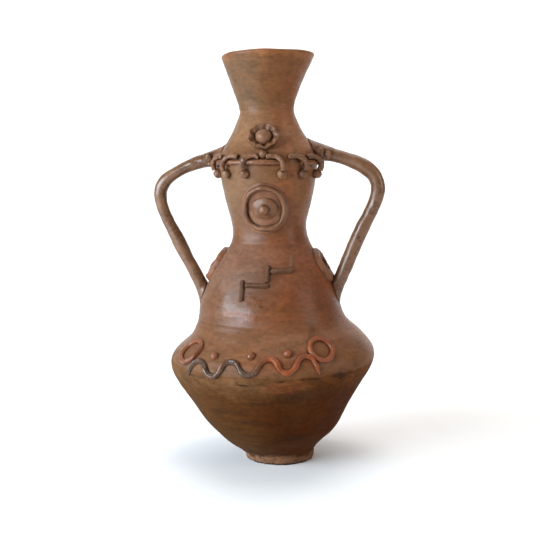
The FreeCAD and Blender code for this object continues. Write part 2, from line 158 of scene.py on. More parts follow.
def round_waves(count, turns, lengths):
    """Random waves round the pot: (turns, vertical frequency, phase) rows."""
    return np.stack([
        rng.integers(turns[0], turns[1] + 1, count).astype(float),
        rng.choice([-1, 1], count) * 2 * np.pi / rng.uniform(lengths[0], lengths[1], count),
        rng.uniform(0, 2 * np.pi, count),
    ], axis=1)


def sum_waves(waves, angle, z):
    """Sum of the waves at angles and heights, evened out for their number."""
    total = np.zeros(np.broadcast(angle, z).shape)
    for turns, frequency, phase in waves:
        total += np.cos(turns * angle + frequency * z + phase)
    return total / math.sqrt(len(waves))


# Waves in the burnished wall: their number, turns round the pot and lengths up it in metres.
WOBBLE = round_waves(9, (2, 4), (0.14, 0.4))
RIPPLE = round_waves(14, (0, 3), (0.007, 0.016))
DENTS = round_waves(26, (5, 16), (0.03, 0.08))
PATCHES = round_waves(10, (1, 5), (0.05, 0.2))
SEAM_DEPTHS = (0.16, 0.3, 0.28)  # mm, where the bowl, shoulder, dome and neck meet
SEAM_WIDTH = 1.1 * MM
RIM_TILT = 0.026             # rise of the rim per metre to the right
FOOT_TILT = (2.4, 1.2)       # mm that the crease above the foot rises at the right and the front
FOOT_TOP = JOINTS[0]
FOOT_TILT_END = 32 * MM      # where the foot's tilt has died out up the bowl


def unevenness(angle, z):
    """How far the burnished wall stands off its ideal shape, in metres. The factors are in mm."""
    where = 0.5 + 0.5 * np.tanh(1.6 * sum_waves(PATCHES, angle, z))
    height = 0.34 * sum_waves(WOBBLE, angle, z)
    height = height + 0.075 * sum_waves(RIPPLE, angle, z) * (0.35 + where)
    height = height + 0.11 * sum_waves(DENTS, angle, z)
    for joint, depth in zip(JOINTS[1:4], SEAM_DEPTHS):
        patchy = np.clip(0.45 + 0.7 * sum_waves(PATCHES[:6], angle, joint), 0, 1)
        height = height - depth * patchy * np.exp(-((z - joint) / SEAM_WIDTH) ** 2)
    return height * MM


def tilted_foot(points):
    """Tips the crease between foot and bowl, which is higher at the right and at the front."""
    radius, lean = wall(np.clip(points[:, 2], 0, FOOT_TOP), 0)
    right, front = (points[:, 0] - lean) / radius, -points[:, 1] / radius
    z = points[:, 2]
    share = np.where(z < FOOT_TOP, z / FOOT_TOP, (FOOT_TILT_END - z) / (FOOT_TILT_END - FOOT_TOP))
    points[:, 2] += np.clip(share, 0, 1) * (FOOT_TILT[0] * right + FOOT_TILT[1] * front) * MM


class Lumps:
    """Smooth random bumps in space, as a sum of plane waves."""

    def __init__(self, size, seed, count=28):
        random = np.random.default_rng(seed)
        way = random.normal(size=(count, 3))
        way /= np.linalg.norm(way, axis=1)[:, None]
        self.waves = way * (2 * np.pi / (size * random.uniform(0.7, 1.5, count)))[:, None]
        self.phases = random.uniform(0, 2 * np.pi, count)
        self.scale = math.sqrt(2 / count)

    def __call__(self, points):
        return np.cos(points @ self.waves.T + self.phases).sum(axis=1) * self.scale


def polar(points):
    """Angle round the wall (0 at the front, rising to the right) and distance from its axis."""
    _, lean = wall(points[:, 2])
    across = points[:, 0] - lean
    return np.arctan2(across, -points[:, 1]), np.hypot(across, points[:, 1])


def off_wall(points):
    """Distance of points from the uneven wall, outward positive, and the outward directions."""
    angle, distance = polar(points)
    radius, _ = wall(points[:, 2])
    above, _ = wall(points[:, 2] + 0.5 * MM)
    below, _ = wall(points[:, 2] - 0.5 * MM)
    slope = np.clip((above - below) / MM, -4, 4)
    lean_back = 1 / np.sqrt(1 + slope ** 2)
    outward = np.stack([np.sin(angle), -np.cos(angle), -slope], axis=1) * lean_back[:, None]
    return (distance - radius) * lean_back, outward


# ---------------------------------------------------------------- meshes

def new_piece(name, points, faces, sharp=None):
    """Smooth-shaded object from arrays of corners and faces."""
    mesh = bpy.data.meshes.new(name)
    mesh.from_pydata(np.asarray(points).tolist(), [], faces if isinstance(faces, list) else faces.tolist())
    mesh.update()
    mesh.shade_smooth()
    if sharp is not None:
        flags = np.zeros(len(mesh.vertices), dtype=bool)
        flags[sharp] = True
        ends = np.zeros(2 * len(mesh.edges), dtype=np.int32)
        mesh.edges.foreach_get("vertices", ends)
        ends = ends.reshape(-1, 2)
        ring = flags[ends[:, 0]] & flags[ends[:, 1]]
        marks = mesh.attributes.new("sharp_edge", "BOOLEAN", "EDGE")
        marks.data.foreach_set("value", ring)
    piece = bpy.data.objects.new(name, mesh)
    bpy.context.scene.collection.objects.link(piece)
    return piece


def hand_over(piece, slot, *nodes):
    """Rides on the one body and stands for its CAD nodes. slot is not used."""
    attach(piece, "root")
    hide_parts(*nodes)


def points_of(mesh):
    flat = np.zeros(3 * len(mesh.vertices))
    mesh.vertices.foreach_get("co", flat)
    return flat.reshape(-1, 3)


def normals_of(mesh):
    flat = np.zeros(3 * len(mesh.vertices))
    mesh.vertex_normals.foreach_get("vector", flat)
    return flat.reshape(-1, 3)


def set_points(mesh, points):
    mesh.vertices.foreach_set("co", np.ascontiguousarray(points).ravel())
    mesh.update()


def mark(piece, name, values):
    layer = piece.data.attributes.new(name, "FLOAT", "POINT")
    layer.data.foreach_set("value", np.broadcast_to(values, len(piece.data.vertices)).astype(np.float32))


def lathe(outer, inner, low_end, high_end):
    """Closed turned piece. outer and inner are (radius, z, lean) rows from low to high; an end is
    "axis" where the two skins close on the axis, or the rows between them. Gives the corners and
    faces, and each corner's row and angle. Two corners on the axis come last and have neither."""
    rows = [tuple(r) for r in outer]
    if high_end:
        rows += [tuple(r) for r in high_end]
    rows += [tuple(r) for r in inner[::-1]]
    if low_end and low_end != "axis":
        rows += [tuple(r) for r in low_end]
    rows = np.array(rows)
    turn = np.linspace(0, 2 * np.pi, AROUND, endpoint=False) - np.pi
    radius, z, lean = rows[:, :1], rows[:, 1:2], rows[:, 2:3]
    points = np.stack([
        lean + radius * np.sin(turn),
        -radius * np.cos(turn),
        np.broadcast_to(z, (len(rows), AROUND)),
    ], axis=2).reshape(-1, 3)
    count = len(rows)
    i = np.arange(count if low_end != "axis" else count - 1)[:, None]
    j = np.arange(AROUND)[None, :]
    a, b = i * AROUND + j, i * AROUND + (j + 1) % AROUND
    nxt = (i + 1) % count
    c, d = nxt * AROUND + (j + 1) % AROUND, nxt * AROUND + j
    faces = np.stack([a, b, c, d], axis=2).reshape(-1, 4).tolist()
    if low_end == "axis":
        first = [rows[0, 2], 0, rows[0, 1]]
        last = [rows[-1, 2], 0, rows[-1, 1]]
        points = np.concatenate([points, [first, last]])
        start, finish = len(points) - 2, len(points) - 1
        row = (count - 1) * AROUND
        for k in range(AROUND):
            faces.append([start, (k + 1) % AROUND, k])
            faces.append([finish, row + k, row + (k + 1) % AROUND])
    return points, faces, np.repeat(np.arange(count), AROUND), np.tile(turn, count)


def chain_rows(chain, low, high, kind, step):
    """(radius, z, lean) rows of a chain's outer or inner skin between two heights."""
    heights, outer, inner, lean = CHAIN_DATA[chain]
    count = max(3, int(round((high - low) / step)) + 1)
    z = np.linspace(low, high, count)
    values = outer if kind == "outer" else inner
    return np.stack([np.interp(z, heights, values), z, np.interp(z, heights, lean)], axis=1)


INNER_ROW = 2.5 * ROW
UNDER_ROWS = 24      # rings that close the bowl's underside, inside the foot
DISH = 1.6 * MM      # rise of the bowl's floor into its wall
LIP = 3.0 * MM       # height of the rounded lip
RIM_REACH = 45 * MM  # how far down the funnel its tilt fades out
FOOT_EDGE = 7 * MM   # height of the foot's rough lower edge
INSIDE_SHARE = 0.6   # share of the outer unevenness that the funnel's inside has


def plain_rows(chain, low, high):
    """Skins of a ring of wall, and what joins them at its lower and upper end."""
    outer = chain_rows(chain, low, high, "outer", ROW)
    inner = chain_rows(chain, low, high, "inner", INNER_ROW)
    return outer, inner, None, None


def bowl_rows(chain, low, high):
    """The bowl's skins run on to the axis, flat underneath and dished inside."""
    outer = chain_rows(chain, low, high, "outer", ROW)
    lean = outer[0, 2]
    floor = tree_of(["lower_bowl"]).ray_cast(Vector((lean, 0, high)), Vector((0, 0, -1)))[0].z
    under = np.array([(outer[0, 0] * t, low, lean) for t in np.linspace(0.05, 0.96, UNDER_ROWS)])
    inner = chain_rows(chain, floor + DISH, high, "inner", INNER_ROW)
    dish = np.array([
        (inner[0, 0] * t, floor + DISH * t ** 6, inner[0, 2]) for t in np.linspace(0.05, 0.96, 16)
    ])
    return np.concatenate([under, outer]), np.concatenate([dish, inner]), "axis", None


def funnel_rows(chain, low, high):
    """The funnel's skins end in a rounded lip."""
    outer, inner, _, _ = plain_rows(chain, low, high - LIP)
    wide, narrow = outer[-1], inner[-1]
    middle, half = 0.5 * (wide[0] + narrow[0]), 0.5 * (wide[0] - narrow[0])
    lip = [
        (middle + half * math.cos(t), high - LIP + LIP * math.sin(t), wide[2])
        for t in np.linspace(0, math.pi, 14)[1:-1]
    ]
    return outer, inner, None, lip


def foot_rows(chain, low, high):
    """The foot has a straight hollow and a worn lower edge."""
    outer, inner, _, _ = plain_rows(chain, low, high)
    hollow = inner[:, 0].min()
    inner = np.array([(hollow, z, inner[0, 2]) for z in np.linspace(low + 1.4 * MM, high, 6)])
    outer[:, 0] -= 1.1 * MM * np.clip(1 - (outer[:, 1] - low) / (1.6 * MM), 0, 1) ** 2
    rest = [(hollow + (outer[0, 0] - hollow) * t, low, outer[0, 2]) for t in np.linspace(0.06, 0.94, 10)]
    return outer, inner, rest, None


def rough_foot(points, low, shift):
    """Unevenness of the foot: the wall's own at its top, rough and chipped at its lower edge."""
    rough = Lumps(6 * MM, 5)(points) * 0.32 * MM + Lumps(16 * MM, 6)(points) * 0.3 * MM
    chips = np.clip(Lumps(9 * MM, 7)(points) - 1.15, 0, 1) * 1.7 * MM
    edge = np.clip(1 - (points[:, 2] - low) / FOOT_EDGE, 0, 1)
    return shift * (1 - edge) + (rough - chips) * edge


def tilted_rim(points, high, lean):
    """Tips the rim, which is higher at the right, and waves it a little."""
    up = np.clip(1 - (high - points[:, 2]) / RIM_REACH, 0, 1) ** 2
    angle = np.arctan2(points[:, 0] - lean, -points[:, 1])
    waves = 0.32 * MM * np.cos(3 * angle + 1.1) + 0.2 * MM * np.cos(7 * angle)
    points[:, 2] += up * (RIM_TILT * points[:, 0] - 1.1 * MM)
    points[:, 2] += up * waves


SPECIAL_ROWS = {"foot_ring": foot_rows, "lower_bowl": bowl_rows, "mouth_funnel": funnel_rows}


def build_wall(name, chain, low, high):
    """One ring of wall between two joints, its outer skin uneven."""
    outer, inner, low_end, high_end = SPECIAL_ROWS.get(name, plain_rows)(chain, low, high)
    points, faces, row, turn = lathe(outer, inner, low_end, high_end)
    first = UNDER_ROWS if name == "lower_bowl" else 0
    reach = np.where((row >= first) & (row < len(outer)), 1.0, 0.0)
    shift = unevenness(turn, points[:len(turn), 2])
    if name == "mouth_funnel":
        reach[row >= len(outer)] = INSIDE_SHARE
    if name == "foot_ring":
        shift = rough_foot(points, low, shift)
    out = np.stack([np.sin(turn), -np.cos(turn), np.zeros_like(turn)], axis=1)
    points[:len(turn)] += out * (shift * reach)[:, None]
    if name == "mouth_funnel":
        tilted_rim(points, high, outer[-1, 2])
    if name in ("foot_ring", "lower_bowl"):
        tilted_foot(points)
    is_end = (row == first) | ((row == len(outer) - 1) & (name != "mouth_funnel"))
    piece = new_piece(name.replace("_", ".") + ".skin", points, faces, np.flatnonzero(is_end))
    hand_over(piece, SLOTS[name], name)
    return piece


shown = {}
for number, names in enumerate(CHAINS):
    for wall_name in names:
        place = WALLS.index(wall_name)
        bottom = JOINTS[place - 1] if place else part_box(wall_name)[0][2]
        top = JOINTS[place] if place < len(JOINTS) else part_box(wall_name)[1][2]
        shown[wall_name] = build_wall(wall_name, number, bottom, top)


# ---------------------------------------------------------------- applied pieces

def softened(name, node, voxel, rounds):
    """Evenly meshed, slightly rounded copy of a CAD node."""
    source = bpy.data.objects.new(name + ".source", frame["nodes"][node].data.copy())
    bpy.context.scene.collection.objects.link(source)
    remesh = source.modifiers.new("remesh", "REMESH")
    remesh.mode = "VOXEL"
    remesh.voxel_size = voxel
    remesh.use_smooth_shade = True
    smooth = source.modifiers.new("smooth", "SMOOTH")
    smooth.factor = 0.5
    smooth.iterations = rounds
    mesh = bpy.data.meshes.new_from_object(source.evaluated_get(bpy.context.evaluated_depsgraph_get()))
    mesh.name = name
    piece = bpy.data.objects.new(name, mesh)
    bpy.context.scene.collection.objects.link(piece)
    old = source.data
    bpy.data.objects.remove(source)
    bpy.data.meshes.remove(old)
    mesh.shade_smooth()
    return piece


# The functions below reshape an ornament. Each takes its corners, their normals, their height
# off the wall and the wall's outward direction there, and gives the moved corners.

NOTCH_PITCH = 2.8 * MM
NOTCH_DEPTH = 0.85 * MM
ROOT_LEVEL = 325 * MM  # the handles' upper roots lie above this
BED_REACH = 0.45 * MM  # corners nearer to the wall than this are bedded in it
BED_DEPTH = 1.1 * MM


def broken_off(points):
    """1 on the top roll of the steps, which broke off and left a scar."""
    beyond = np.clip((np.abs(points[:, 0]) - 26 * MM) / MM, 0, 1)
    return beyond * np.clip((points[:, 2] - 221 * MM) / MM, 0, 1)


def notched(points, normals, height, outward):
    """Fine slanting notches, as on a roll of clay pressed with a cord."""
    twist = np.clip(np.cos(2 * np.pi * (points[:, 0] + points[:, 2]) / NOTCH_PITCH), 0, 1)
    free = np.clip(height / (0.8 * MM), 0, 1)
    scar = broken_off(points)
    points = points - normals * (NOTCH_DEPTH * twist ** 2 * free)[:, None]
    return points - outward * (0.78 * np.clip(height, 0, None) * scar)[:, None]


def ruffled(points, normals, height, outward):
    """Petals that curl unevenly round the ball."""
    middle = 0.5 * (points.min(axis=0) + points.max(axis=0))
    across, up = points[:, 0] - middle[0], points[:, 2] - middle[2]
    spread = np.hypot(across, up)
    angle = np.arctan2(up, across * np.sign(-middle[1]))
    rim = np.clip((spread / spread.max() - 0.55) / 0.3, 0, 1) * np.clip(height / MM, 0, 1)
    even = 0.55 * (13.6 * MM - spread)
    wide = even + 0.9 * MM * np.cos(2 * angle) + 0.6 * MM * np.cos(5 * angle + 1.0)
    curl = 0.9 * MM * np.cos(4 * angle + 0.6) + 0.6 * MM * np.cos(7 * angle)
    ray = np.stack([across, np.zeros_like(across), up], axis=1) / np.maximum(spread, MM)[:, None]
    return points + ray * (rim * wide)[:, None] + outward * (rim * curl)[:, None]


def opened(points, normals, height, outward):
    """A thinner ring with a steep inner side."""
    middle = 0.5 * (points.min(axis=0) + points.max(axis=0))
    ray = (points - middle) * np.array([1, 0, 1])
    spread = np.linalg.norm(ray, axis=1)
    centre = 0.5 * (spread.min() + spread.max())
    inner = np.clip((centre - spread) / (3.6 * MM), -1, 1)
    shift = (0.75 + 1.0 * inner) * MM
    return points + ray * (shift / spread)[:, None]


def upper_root(points, height, reach):
    """1 where a handle meets the collar, fading to 0 at a height off the wall."""
    return np.clip(1 - height / reach, 0, 1) * np.clip((points[:, 2] - ROOT_LEVEL) / (10 * MM), 0, 1)


def rooted(points, normals, height, outward):
    """A handle, or its pellets, whose upper left root meets the collar a little lower."""
    drop = 6 * MM * upper_root(points, height, 24 * MM) * (points[:, 0] < 0)
    return points - np.array([0, 0, 1]) * drop[:, None]


def welded(points, normals, height, outward):
    """A rooted handle with extra clay smoothed up the collar, thinner towards its edge."""
    near = upper_root(points, height, 22 * MM)
    rise = np.where(points[:, 0] > 0, 8 * MM, 4 * MM) * near ** 2 * np.clip(normals[:, 2], 0, 1)
    moved = rooted(points, normals, height, outward) + np.array([0, 0, 1]) * rise[:, None]
    thinned = height * (1 - 0.75 * rise / (8 * MM))
    back = np.where(rise > 0, thinned - off_wall(moved)[0], 0) * near
    return moved + outward * back[:, None]


def lower(points, normals, height, outward):
    """A slightly smaller ring, still on the slope of the wall."""
    middle = 0.5 * (points.min(axis=0) + points.max(axis=0))
    moved = middle + (points - middle) * np.array([1, 0.88, 0.86]) - np.array([0, 0, 1.4 * MM])
    return moved + outward * (height - off_wall(moved)[0])[:, None]


def thumbed(points, normals, height, outward):
    """The wave: pinched to a ridge on its grey half, rubbed flat on its orange half."""
    front = np.sign(-points[:, 1])
    flat = np.clip((points[:, 0] * front + 4 * MM) / (16 * MM), 0, 1)
    top = np.clip((height - 1.6 * MM) / (2.4 * MM), 0, 1)
    along = normals - outward * (normals * outward).sum(axis=1)[:, None]
    points = points + outward * (0.5 * MM * top * (1 - flat))[:, None]
    points = points - along * (0.7 * MM * top * (1 - flat))[:, None]
    return points - outward * (0.5 * flat * np.clip(height - 3.0 * MM, 0, None))[:, None]


def worked(piece, lumps, flare, reach, swell, lift, shape):
    """Hand-pressed look: lumps, a smeared base and a back that is bedded in the wall. lumps is a list
    of (size, height). swell fattens the piece, flare spreads its base up to reach off the wall,
    lift moves it outward and shape is one of the functions above. Lengths are in mm."""
    points, normals = points_of(piece.data), normals_of(piece.data)
    points = points + normals * (swell * MM)
    height, outward = off_wall(points)
    if shape:
        points = shape(points, normals, height, outward)
    along = normals - outward * (normals * outward).sum(axis=1)[:, None]
    for step, (size, amount) in enumerate(lumps):
        bumps = Lumps(size * MM, len(piece.name) * 7 + step)(points)
        points = points + normals * (bumps * amount * MM)[:, None]
    near = np.clip(1 - height / (reach * MM), 0, 1) ** 2
    points = points + along * (near * flare * MM)[:, None]
    points = points + outward * (lift * MM)
    bedded = np.clip(1 - (height + lift * MM) / BED_REACH, 0, 1)
    points = points - outward * (BED_DEPTH * bedded)[:, None]
    angle, _ = polar(points)
    points = points + outward * unevenness(angle, points[:, 2])[:, None]
    set_points(piece.data, points)


def applied(node, voxel, rounds, lumps, flare=0.7, reach=1.3, swell=0.35, lift=0.0, shape=None):
    """A softened and worked piece that stands for one CAD node."""
    piece = softened(node.replace("_", "."), node, voxel * COARSE * MM, rounds)
    worked(piece, lumps, flare, reach, swell, lift, shape)
    hand_over(piece, SLOTS[node], node)
    return piece


def right_half(points):
    """0 on the left of the wave and 1 on its right, as seen from its own side."""
    return np.clip((points[:, 0] * np.sign(-points[:, 1]) + 6 * MM) / (16 * MM), 0, 1)


def near_collar(points):
    """1 on a handle's upper root, which was smoothed over with the collar's clay."""
    return np.clip((66 * MM - np.abs(points[:, 0])) / (14 * MM), 0, 1) * (points[:, 2] > ROOT_LEVEL)


# How each kind of ornament is meshed and worked: see applied and worked. Lengths are in mm.
RECIPES = {
    "handle": dict(
        voxel=0.95, rounds=8, lumps=[(45, 0.3), (12, 0.1)], flare=2.2, reach=6, swell=0, shape=welded),
    "handle_pellets": dict(voxel=0.5, rounds=3, lumps=[(5, 0.22)], flare=0.9, reach=1.6, shape=rooted),
    "side_ring": dict(
        voxel=0.6, rounds=4, lumps=[(11, 0.35), (5, 0.14)], flare=1.0, reach=2, shape=lower),
    "collar_cord": dict(voxel=0.5, rounds=4, lumps=[(14, 0.18), (5, 0.08)], flare=0.5, reach=1, swell=0.2),
    "collar_hooks": dict(voxel=0.45, rounds=3, lumps=[(7, 0.16), (3.5, 0.1)], swell=0.1),
    "hook_balls": dict(voxel=0.45, rounds=3, lumps=[(5, 0.2)], flare=0.8, reach=1.4),
    "collar_pellet": dict(voxel=0.45, rounds=3, lumps=[(5, 0.18)]),
    "flower_ball": dict(voxel=0.5, rounds=3, lumps=[(10, 0.22)], flare=0.0, reach=1),
    "flower_cup": dict(voxel=0.45, rounds=7, lumps=[(8, 0.25)], flare=0.6, swell=0.55, shape=ruffled),
    "medallion_pad": dict(voxel=0.65, rounds=6, lumps=[(14, 0.15)], flare=4.0, reach=2, lift=-0.85),
    "medallion_ring": dict(
        voxel=0.55, rounds=3, lumps=[(18, 0.3), (7, 0.12)], flare=0.8, reach=1.6, swell=0, shape=opened),
    "medallion_mound": dict(voxel=0.5, rounds=5, lumps=[(9, 0.22)], flare=0.5, reach=1),
    "medallion_stud": dict(voxel=0.4, rounds=3, lumps=[(5, 0.14)], flare=0.4, reach=1),
    "step_rolls": dict(voxel=0.32, rounds=2, lumps=[(7, 0.12)], flare=0.6, reach=1, shape=notched),
    "wave_coil": dict(voxel=0.5, rounds=6, lumps=[(14, 0.3), (8, 0.1)], reach=1.5, swell=-0.1, shape=thumbed),
    "wave_loops": dict(voxel=0.5, rounds=3, lumps=[(11, 0.22)], flare=0.6, reach=1.2, swell=0),
    "wave_pellets": dict(voxel=0.45, rounds=4, lumps=[(6, 0.12)], flare=0.8, reach=1.4),
}
for node in sorted(set(SLOTS) - set(WALLS)):
    kind = node if node in RECIPES else node.rsplit("_", 1)[0]
    piece = shown[node] = applied(node, **RECIPES[kind])
    corners = points_of(piece.data)
    right = right_half(corners)
    worn = {"wave_coil": right, "wave_loops": 0.5 + 0.35 * right, "wave_pellets": 0.35 + 0.3 * right,
            "medallion_pad": 0.25, "side_ring": 0.3}
    slip = {"wave_coil": 0.9 * (1 - right)}
    bare = {"step_rolls": 0.85 * broken_off(corners), "handle": 0.85 * near_collar(corners),
            "flower_ball": 0.6}
    for attribute, shares in (("worn", worn), ("slip", slip), ("bare", bare)):
        mark(piece, attribute, shares.get(kind, 0.0))


# ---------------------------------------------------------------- materials

def linear(*rgb):
    """Screen colour, 0 to 255, as linear light."""
    values = [c / 255 for c in rgb]
    return tuple(c / 12.92 if c <= 0.04045 else ((c + 0.055) / 1.055) ** 2.4 for c in values) + (1.0,)


RAMP_LENGTH = 500  # mm of height that a wall's colour ramp covers


class Graph:
    """Small helper round a material's node tree. Values are numbers or node sockets."""

    def __init__(self, name):
        self.material = bpy.data.materials.new(name)
        self.material.use_nodes = True
        self.nodes = self.material.node_tree.nodes
        self.links = self.material.node_tree.links
        self.nodes.clear()
        self.output = self.nodes.new("ShaderNodeOutputMaterial")
        self.shader = self.nodes.new("ShaderNodeBsdfPrincipled")
        self.links.new(self.shader.outputs[0], self.output.inputs[0])
        self.place = self.nodes.new("ShaderNodeTexCoord").outputs["Object"]

    def feed(self, socket, value):
        if isinstance(value, bpy.types.NodeSocket):
            self.links.new(value, socket)
        else:
            socket.default_value = value

    def noise(self, size, stretch=(1, 1, 1), detail=5, rough=0.55, shift=(0, 0, 0), warp=0.0):
        """Noise whose features are about size mm across, stretched along the axes."""
        mapping = self.nodes.new("ShaderNodeMapping")
        self.links.new(self.place, mapping.inputs["Vector"])
        mapping.inputs["Scale"].default_value = tuple(1000 / (size * s) for s in stretch)
        mapping.inputs["Location"].default_value = shift
        node = self.nodes.new("ShaderNodeTexNoise")
        node.inputs["Scale"].default_value = 1.0
        node.inputs["Detail"].default_value = detail
        node.inputs["Roughness"].default_value = rough
        node.inputs["Distortion"].default_value = warp
        self.links.new(mapping.outputs[0], node.inputs["Vector"])
        return node.outputs["Fac"]

    def curve(self, value, low, high, out_low=0.0, out_high=1.0, smooth=True):
        """The value between low and high, spread between out_low and out_high."""
        node = self.nodes.new("ShaderNodeMapRange")
        node.interpolation_type = "SMOOTHSTEP" if smooth else "LINEAR"
        self.feed(node.inputs["Value"], value)
        for key, number in (("From Min", low), ("From Max", high), ("To Min", out_low), ("To Max", out_high)):
            node.inputs[key].default_value = number
        return node.outputs[0]

    def math(self, operation, a, b=0.0):
        node = self.nodes.new("ShaderNodeMath")
        node.operation = operation
        self.feed(node.inputs[0], a)
        self.feed(node.inputs[1], b)
        return node.outputs[0]

    def times(self, a, b):
        return self.math("MULTIPLY", a, b)

    def total(self, *values):
        result = values[0]
        for value in values[1:]:
            result = self.math("ADD", result, value)
        return result

    def mix(self, amount, a, b, blend="MIX"):
        node = self.nodes.new("ShaderNodeMix")
        node.data_type = "RGBA"
        node.blend_type = blend
        self.feed(node.inputs["Factor"], amount)
        self.feed(node.inputs[6], a)
        self.feed(node.inputs[7], b)
        return node.outputs[2]

    def relief(self, height, strength, depth):
        """Bump of depth mm."""
        bump = self.nodes.new("ShaderNodeBump")
        bump.inputs["Strength"].default_value = strength
        bump.inputs["Distance"].default_value = depth * MM
        self.feed(bump.inputs["Height"], height)
        self.links.new(bump.outputs[0], self.shader.inputs["Normal"])

    def occlusion_shade(self, reach):
        """1 where another surface is much nearer than reach mm: the mask for painted shade in crevices."""
        node = self.nodes.new("ShaderNodeAmbientOcclusion")
        node.samples = 8
        node.inputs["Distance"].default_value = reach * MM
        return self.curve(node.outputs["AO"], 0.88, 0.45)

    def attribute(self, name):
        node = self.nodes.new("ShaderNodeAttribute")
        node.attribute_name = name
        return node.outputs["Fac"]

    def axis(self, letter):
        """X, Y or Z of the shaded point, in metres."""
        node = self.nodes.new("ShaderNodeSeparateXYZ")
        self.links.new(self.place, node.inputs[0])
        return node.outputs[letter]

    def turned(self):
        """-1 at the left side of the wall, 0 at its middle, 1 at its right side."""
        x, y = self.axis("X"), self.axis("Y")
        distance = self.math("SQRT", self.total(self.times(x, x), self.times(y, y)))
        return self.math("DIVIDE", x, self.math("MAXIMUM", distance, 4 * MM))

    def ramp(self, value, stops):
        """Colour by a height in metres. stops are (mm, colour)."""
        node = self.nodes.new("ShaderNodeValToRGB")
        self.feed(node.inputs[0], self.math("DIVIDE", value, RAMP_LENGTH * MM))
        tones = node.color_ramp.elements
        for index, (level, colour) in enumerate(stops):
            tone = tones[index] if index < 2 else tones.new(1.0)
            tone.position = level / RAMP_LENGTH
            tone.color = colour
        return node.outputs[0]

    def smear(self, ragged, x, z, wide, high):
        """1 inside a patch of the front wall that fades to 0 round it. ragged is the noise that
        frays its edge. Places and sizes are in mm."""
        mapping = self.nodes.new("ShaderNodeMapping")
        self.links.new(self.place, mapping.inputs["Vector"])
        mapping.inputs["Scale"].default_value = (1000 / wide, 0, 1000 / high)
        mapping.inputs["Location"].default_value = (-x / wide, 0, -z / high)
        length = self.nodes.new("ShaderNodeVectorMath")
        length.operation = "LENGTH"
        self.links.new(mapping.outputs[0], length.inputs[0])
        frayed = self.total(length.outputs["Value"], self.curve(ragged, 0.3, 0.7, -0.45, 0.45))
        return self.times(self.curve(frayed, 1.15, 0.6), self.curve(self.axis("Y"), 0.0, -8 * MM))

    def brightness(self, colour, factor):
        node = self.nodes.new("ShaderNodeHueSaturation")
        self.feed(node.inputs["Color"], colour)
        self.feed(node.inputs["Value"], factor)
        return node.outputs[0]


# The wall's tones: mm above the floor, left of the middle, right of the middle.
# The split between left and right tones is partly the clay's own colour, partly painted light: the window's
# sheen on the left side, painted shade on the right of the bowl and a painted sheen on the right of the
# shoulder and collar.
WALL_TONES = [
    (0, (130, 98, 76), (122, 88, 64)),
    (8, (120, 86, 62), (112, 77, 53)),
    (11, (70, 46, 30), (66, 41, 25)),
    (15, (84, 56, 32), (74, 40, 16)),
    (45, (75, 46, 19), (64, 29, 2)),
    (85, (79, 47, 19), (67, 30, 4)),
    (104, (93, 64, 38), (78, 42, 12)),
    (122, (108, 73, 48), (106, 66, 36)),
    (148, (108, 70, 44), (124, 81, 53)),
    (166, (100, 64, 41), (110, 65, 38)),
    (180, (102, 67, 44), (106, 61, 33)),
    (205, (108, 76, 57), (112, 62, 34)),
    (236, (112, 76, 56), (122, 73, 46)),
    (252, (106, 69, 45), (108, 63, 37)),
    (300, (108, 78, 52), (118, 75, 42)),
    (340, (108, 72, 44), (118, 74, 42)),
    (350, (114, 78, 50), (146, 102, 72)),
    (372, (128, 92, 64), (148, 100, 68)),
    (392, (114, 78, 50), (134, 84, 52)),
    (396, (94, 67, 40), (110, 67, 34)),
    (408, (98, 67, 41), (117, 67, 29)),
    (440, (98, 67, 40), (116, 67, 26)),
    (449, (120, 76, 46), (130, 80, 42)),
    (458, (126, 80, 52), (130, 82, 48)),
]
# Dark fire marks on the front wall: x, height, half width and half height in mm, strength.
FIRE_MARKS = [
    (-15, 106, 7, 1.5, 0.8), (-22, 108, 2, 3, 0.35), (23.5, 111, 6, 1.2, 0.7), (56, 112, 13, 1.6, 0.6),
    (82, 112, 13, 4, 0.65), (40, 92, 26, 9, 0.3), (-10, 84, 16, 3, 0.25), (-4, 60, 26, 4, 0.25),
    (-66, 110, 12, 2, 0.35), (-45, 70, 10, 3, 0.3), (52, 160, 3, 16, 0.25), (30, 40, 20, 6, 0.35),
    (4, 204, 20, 22, 0.16),
]
# Warmer patches of the front wall: x, height, half width and half height in mm, strength.
WARM_MARKS = [
    (25, 308, 9, 26, 0.4), (12, 381, 5, 12, 0.45), (22, 352, 9, 8, 0.3), (32, 190, 24, 12, 0.3),
    (10, 128, 36, 12, 0.3), (30, 104, 26, 8, 0.28), (50, 136, 14, 9, 0.35), (8, 172, 60, 5, 0.3),
    (20, 248, 12, 4, 0.3),
]
# Where the belly was rubbed to a shine: x, height, half width and half height in mm.
POLISHED = (-25, 180, 25, 17)
# Tones laid over the walls and ornaments.
WARM = linear(132, 72, 42)
SOOT = linear(42, 25, 12)
SCORCHED = linear(38, 25, 16)
# Tone of the painted shade on the wall round the ornaments.
WALL_PAINTED_SHADE = linear(44, 27, 18)
CHIPPED = linear(62, 44, 34)
WORN_ORANGE = linear(126, 56, 10)
GREY_SLIP = linear(68, 49, 35)
# Tones of the painted shade in the ornaments' creases and crevices.
CREASE_PAINTED_SHADE = linear(48, 30, 22)
CREVICE_PAINTED_SHADE = linear(40, 25, 17)
BARE_CLAY = linear(122, 84, 60)


